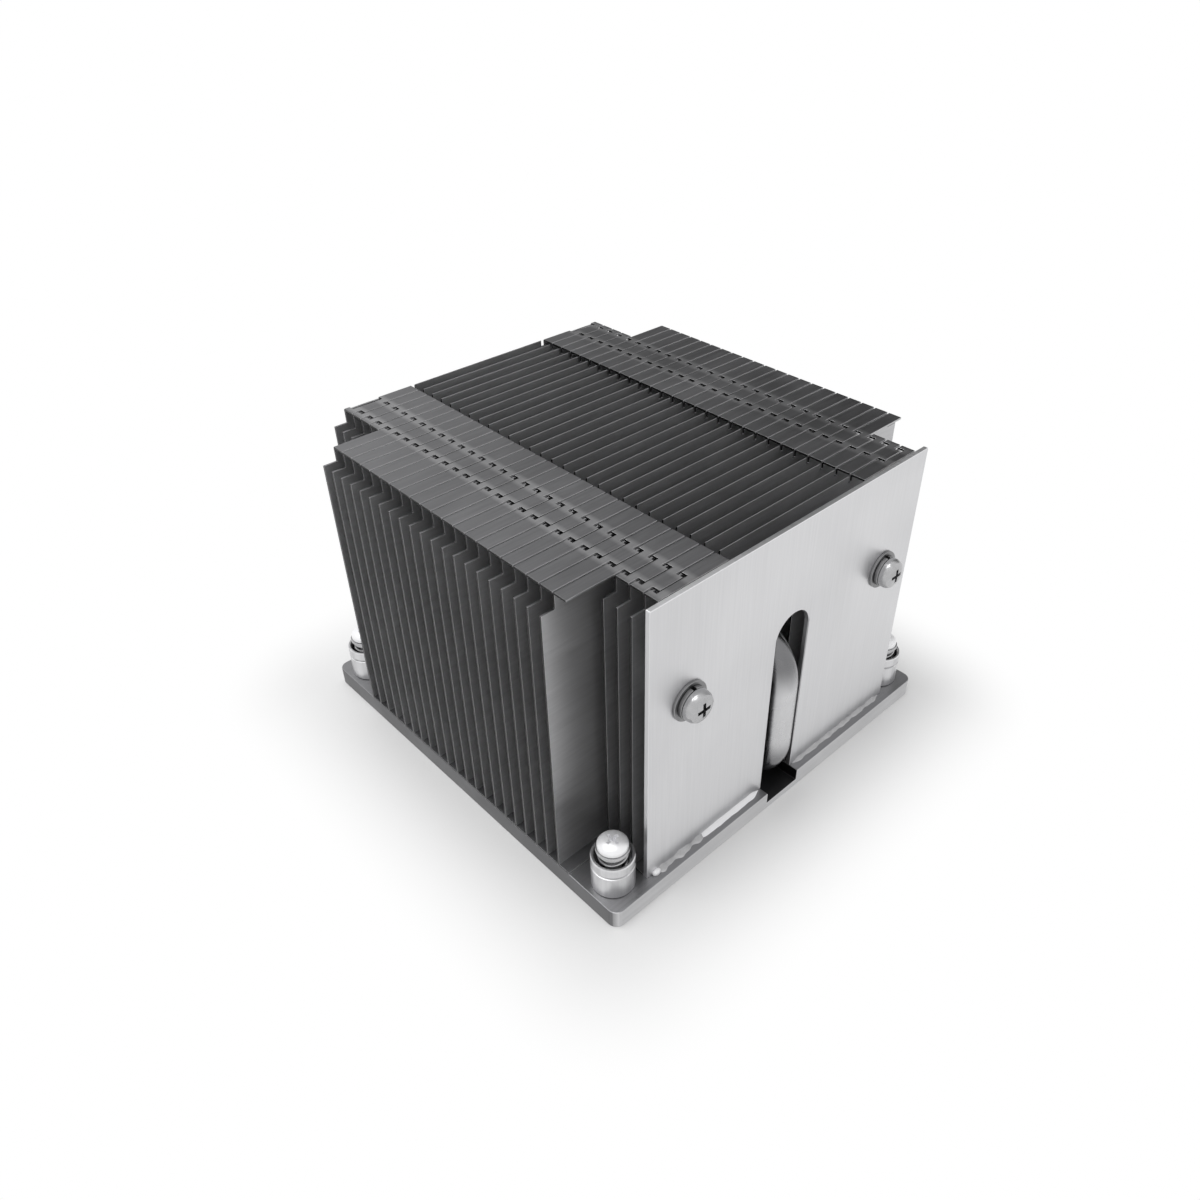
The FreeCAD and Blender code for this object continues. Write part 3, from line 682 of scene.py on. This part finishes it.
pan_head = [(HEAD_RADIUS * out, SEAT + HEAD_HEIGHT * up) for out, up in PAN_SECTION]
pan_head += [(THREAD_RADIUS, SEAT), (THREAD_RADIUS, THREAD_END + THREAD_CHAMFER),
             (TIP_RADIUS, THREAD_END), (0.0, THREAD_END)]
for side, label in ((-1, "left"), (1, "right")):
    cross = cross_cutter(span=3.6 * MM, width=0.85 * MM, depth=1.4 * MM, top=SEAT + HEAD_HEIGHT)
    head = cut_with(turned(pan_head, HEAD_SIDES), cross)
    screw = finish_piece(on_plate(head, side), f"pan_screw_{label}", zinc, "heat_sink")
    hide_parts("plate_screws")
    low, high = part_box("flat_washers")
    washer = on_plate(flat_ring(WASHER_BORE, (high.z - low.z) / 2, 0.0, FLAT_WASHER), side)
    washer = finish_piece(washer, f"plate_washer_{label}", dark_washer, "heat_sink")
    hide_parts("flat_washers")
    low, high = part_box("lock_washers")
    spring = on_plate(split_ring(WASHER_BORE, (high.z - low.z) / 2, FLAT_WASHER, SEAT), side)
    spring = finish_piece(spring, f"spring_washer_{label}", dark_washer, "heat_sink")
    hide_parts("lock_washers")
dress("plate_nuts", zinc, NUT_EDGE)


# Ferrules
# Four cups of drawn aluminium, one at each corner of the base, pressed in from above. Each holds
# a spring upright and has a groove under the collar at its mouth. Upright drawing marks show.

CORNERS = [(-1, -1), (1, -1), (1, 1), (-1, 1)]
SCREW_SQUARE = 80.0 * MM
CUP_SIDES = 48
CUP_RADIUS = 4.0 * MM
CUP_CHAMFER = 0.2 * MM
CUP_INSIDE = 3.4 * MM
CUP_FLOOR = 0.8 * MM
CUP_BORE = 1.8 * MM
SPIGOT_RADIUS = 2.4 * MM
# Radius and depth under the mouth, in millimetres: groove, collar, mouth and inner edge.
CUP_MOUTH = ((4.0, 2.5), (3.7, 2.35), (3.7, 2.1), (3.85, 2.0), (4.0, 1.9), (4.0, 0.25), (3.85, 0.0),
             (3.55, 0.0), (3.4, 0.15))

drawn = metal("drawn_bright", dark=0.38, light=0.76, rough=0.3, stretch=(900.0, 900.0, 40.0),
              bump=0.25, edge=0.5)


def at_corner(piece, side, end):
    """Moves a piece made about Z to its corner of the base."""
    bmesh.ops.translate(piece, verts=piece.verts,
                        vec=(side * SCREW_SQUARE / 2, end * SCREW_SQUARE / 2, 0.0))
    return piece


ferrule_low, ferrule_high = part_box("ferrules")
cup = [(CUP_BORE, ferrule_low.z), (SPIGOT_RADIUS, ferrule_low.z), (SPIGOT_RADIUS, base_top),
       (CUP_RADIUS - CUP_CHAMFER, base_top), (CUP_RADIUS, base_top + CUP_CHAMFER)]
cup += [(radius * MM, ferrule_high.z - depth * MM) for radius, depth in CUP_MOUTH]
cup += [(CUP_INSIDE, base_top + CUP_FLOOR), (CUP_BORE, base_top + CUP_FLOOR), (CUP_BORE, ferrule_low.z)]
for number, (side, end) in enumerate(CORNERS, start=1):
    ferrule = at_corner(turned(cup, CUP_SIDES), side, end)
    ferrule = finish_piece(ferrule, f"spring_cup_{number}", drawn, "heat_sink")
    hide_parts("ferrules")


# Springs
# A compression spring of drawn steel wire in each ferrule, on the cooler's body. Its end turns lie flat.

WIRE_RADIUS = 0.3 * MM
WIRE_SIDES = 10
SPRING_RADIUS = 2.5 * MM
SPRING_TURNS = 5
SPRING_STEPS = 28

spring_wire = metal("spring_wire", dark=0.34, light=0.56, rough=0.25, stretch=(600.0, 600.0, 600.0),
                    bump=0.15)


def make_spring(low, high, radius):
    """Spins a ring of wire round the screw, rising with each turn, between two flat end turns."""
    spring = bmesh.new()
    start = Matrix.Translation((radius, 0.0, low + WIRE_RADIUS)) @ Matrix.Rotation(QUARTER_TURN, 4, "X")
    ring = bmesh.ops.create_circle(spring, segments=WIRE_SIDES, radius=WIRE_RADIUS, cap_ends=True,
                                   matrix=start)["verts"]
    edges = list({edge for vert in ring for edge in vert.link_edges})
    wire = 2 * WIRE_RADIUS
    for turns, climb in ((1, wire), (SPRING_TURNS - 2, high - low - 3 * wire), (1, wire)):
        steps = SPRING_STEPS * turns
        made = bmesh.ops.spin(spring, geom=edges, cent=(0.0, 0.0, 0.0), axis=(0.0, 0.0, 1.0),
                              dvec=(0.0, 0.0, climb / steps), angle=FULL_TURN * turns,
                              steps=steps, use_duplicate=False)["geom_last"]
        edges = parts_of(made, bmesh.types.BMEdge)
    bmesh.ops.contextual_create(spring, geom=edges)
    return spring


for number, (side, end) in enumerate(CORNERS, start=1):
    low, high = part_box(f"spring_{number}")
    coil = at_corner(make_spring(low.z, high.z, SPRING_RADIUS), side, end)
    spring = finish_piece(coil, f"wire_spring_{number}", spring_wire, "heat_sink")
    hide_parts(f"spring_{number}")
    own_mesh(spring)


# Captive screws
# Four nickel-plated steel screws that stay in the cooler. Each has a domed head with a cross
# recess, a plain neck through its spring, and a retaining ring under the base.

# Radius and depth under the top of the head, in millimetres.
DOME = ((0.0, 0.0), (0.8, 0.04), (1.5, 0.16), (2.1, 0.38), (2.55, 0.68), (2.8, 1.05))
DOME_RADIUS = 2.8 * MM
DOME_CHAMFER = 0.1 * MM
DOME_LIFT = 0.05 * MM
NECK_RADIUS = 1.5 * MM
NECK_CHAMFER = 0.35 * MM
SEAT_BORE = 1.55 * MM
CLIP_BORE = 1.52 * MM

satin = metal("satin_nickel", dark=0.9, light=0.98, rough=0.36, stretch=(900.0, 900.0, 900.0),
              bump=0.15, smudge_size=260.0, edge=0.5, metallic=0.45)
for number, (side, end) in enumerate(CORNERS, start=1):
    low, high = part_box(f"captive_screw_{number}")
    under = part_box(f"seat_washer_{number}")[1].z + DOME_LIFT
    shape = [(radius * MM, high.z - depth * MM) for radius, depth in DOME]
    shape += [(DOME_RADIUS, under + DOME_CHAMFER), (DOME_RADIUS - DOME_CHAMFER, under),
              (NECK_RADIUS, under), (NECK_RADIUS, low.z + NECK_CHAMFER), (TIP_RADIUS, low.z),
              (0.0, low.z)]
    cross = cross_cutter(span=3.2 * MM, width=0.75 * MM, depth=1.2 * MM, top=high.z)
    head = at_corner(cut_with(turned(shape, HEAD_SIDES), cross), side, end)
    screw = finish_piece(head, f"spring_screw_{number}", satin, f"screw_{number}")
    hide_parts(f"captive_screw_{number}")
    for node, label, body, bore in (
            (f"seat_washer_{number}", f"spring_seat_{number}", f"push_{number}", SEAT_BORE),
            (f"retaining_ring_{number}", f"screw_clip_{number}", f"screw_{number}", CLIP_BORE)):
        low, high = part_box(node)
        ring = at_corner(flat_ring(bore, (high.x - low.x) / 2, low.z, high.z), side, end)
        ring = finish_piece(ring, label, zinc, body)
        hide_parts(node)


# Studio
# A pale floor that keeps a soft shadow close round the base, an even white room, and one broad
# soft lamp overhead. The camera stands where the photograph was taken from.

FLOOR_HALF = 3.0
FLOOR_TONE = 0.8
WHITE = 1.0
SHADOW_REACH = 27.0 * MM
SHADOW_SHARE = 0.1
MIRROR_SHARE = 0.7

# Where the camera or a gloss sees the floor it is white, fading to a shaded surface by the base.
floor_mesh = bmesh.new()
bmesh.ops.create_grid(floor_mesh, x_segments=1, y_segments=1, size=FLOOR_HALF)
mesh = bpy.data.meshes.new("floor")
floor_mesh.to_mesh(mesh)
floor_mesh.free()
floor = add_object("floor", mesh)
floor_paint = bpy.data.materials.new("floor_paint")
floor_paint.use_nodes = True
tree = floor_paint.node_tree
tree.nodes.remove(tree.nodes["Principled BSDF"])
matte = add_node(tree, "ShaderNodeBsdfDiffuse", {
    "Color": (FLOOR_TONE, FLOOR_TONE, FLOOR_TONE, 1.0)}).outputs["BSDF"]
glow = add_node(tree, "ShaderNodeEmission", {"Strength": WHITE}).outputs["Emission"]
place = add_node(tree, "ShaderNodeTexCoord").outputs["Object"]
folded = add_node(tree, "ShaderNodeVectorMath", {0: place}, operation="ABSOLUTE")
beyond = add_node(tree, "ShaderNodeVectorMath", {
    0: folded.outputs["Vector"], 1: (*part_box("base_plate")[1].xy, 0.0)}, operation="SUBTRACT")
outside = add_node(tree, "ShaderNodeVectorMath", {0: beyond.outputs["Vector"]}, operation="MAXIMUM")
away = add_node(tree, "ShaderNodeVectorMath", {0: outside.outputs["Vector"]}, operation="LENGTH")
share = ramp(tree, away.outputs["Value"], 0.0, SHADOW_REACH, low=SHADOW_SHARE, interpolation="SMOOTHSTEP")
seen = add_node(tree, "ShaderNodeLightPath").outputs
shade = calc(tree, "MAXIMUM", share, calc(tree, "MULTIPLY", seen["Is Glossy Ray"], MIRROR_SHARE))
lit = add_node(tree, "ShaderNodeMixShader", {"Fac": shade, 1: matte, 2: glow}).outputs["Shader"]
direct = calc(tree, "MAXIMUM", seen["Is Camera Ray"], seen["Is Glossy Ray"])
direct = calc(tree, "MAXIMUM", direct, seen["Is Transmission Ray"])
choice = add_node(tree, "ShaderNodeMixShader", {"Fac": direct, 1: matte, 2: lit}).outputs["Shader"]
tree.links.new(choice, tree.nodes["Material Output"].inputs["Surface"])
floor.data.materials.append(floor_paint)

ROOM_LIGHT = 0.65
DARK_SIDE = (0.83, 0.45, 0.33)
DARK_START = 0.7

# The camera sees a white room, and gloss mirrors one that falls off to dark on one side.
world = bpy.data.worlds.new("studio")
bpy.context.scene.world = world
world.use_nodes = True
tree = world.node_tree
room = tree.nodes["Background"]
room.inputs["Color"].default_value = (1.0, 1.0, 1.0, 1.0)
direction = add_node(tree, "ShaderNodeTexCoord").outputs["Generated"]
towards = add_node(tree, "ShaderNodeVectorMath", {0: direction, 1: DARK_SIDE}, operation="DOT_PRODUCT")
mirror_light = ramp(tree, towards.outputs["Value"], DARK_START, 1.0, low=WHITE, high=0.0)
seen = add_node(tree, "ShaderNodeLightPath").outputs
given_light = add_node(tree, "ShaderNodeMix", {
    "Factor": seen["Is Glossy Ray"], "A": ROOM_LIGHT, "B": mirror_light}).outputs["Result"]
strength = add_node(tree, "ShaderNodeMix", {
    "Factor": seen["Is Camera Ray"], "A": given_light, "B": WHITE}).outputs["Result"]
tree.links.new(strength, room.inputs["Strength"])

LAMP_PLACE = Vector((-0.15, 0.1, 0.8))
LAMP_AIM = Vector((0.0, 0.0, 0.03))
LAMP_WIDTH = 0.5
LAMP_POWER = 3.2

light = bpy.data.lights.new("overhead", "AREA")
light.size = LAMP_WIDTH
light.energy = LAMP_POWER
lamp = add_object("overhead", light)
lamp.location = LAMP_PLACE
lamp.rotation_mode = "QUATERNION"
lamp.rotation_quaternion = (LAMP_AIM - LAMP_PLACE).to_track_quat("-Z", "Y")

FRAME_PIXELS = 1200
FOCAL_PIXELS = 984.765
PRINCIPAL_X = 636.10
PRINCIPAL_Y = 601.44
SENSOR_WIDTH = 36.0
CAMERA_PLACE = (-113.679 * MM, -122.549 * MM, 149.242 * MM)
CAMERA_AZIMUTH = -0.76521
CAMERA_ELEVATION = 0.64443
NEAR_LIMIT = 10.0 * MM

camera = bpy.data.cameras.new("camera")
camera.sensor_width = SENSOR_WIDTH
camera.lens = SENSOR_WIDTH * FOCAL_PIXELS / FRAME_PIXELS
camera.shift_x = (FRAME_PIXELS / 2 - PRINCIPAL_X) / FRAME_PIXELS
camera.shift_y = (PRINCIPAL_Y - FRAME_PIXELS / 2) / FRAME_PIXELS
camera.clip_start = NEAR_LIMIT
viewer = add_object("camera", camera)
level = math.cos(CAMERA_ELEVATION)
back = Vector((level * math.sin(CAMERA_AZIMUTH), -level * math.cos(CAMERA_AZIMUTH),
               math.sin(CAMERA_ELEVATION)))
viewer.location = CAMERA_PLACE
viewer.rotation_mode = "QUATERNION"
viewer.rotation_quaternion = (-back).to_track_quat("-Z", "Y")
bpy.context.scene.camera = viewer
bpy.context.scene.view_settings.view_transform = "Standard"
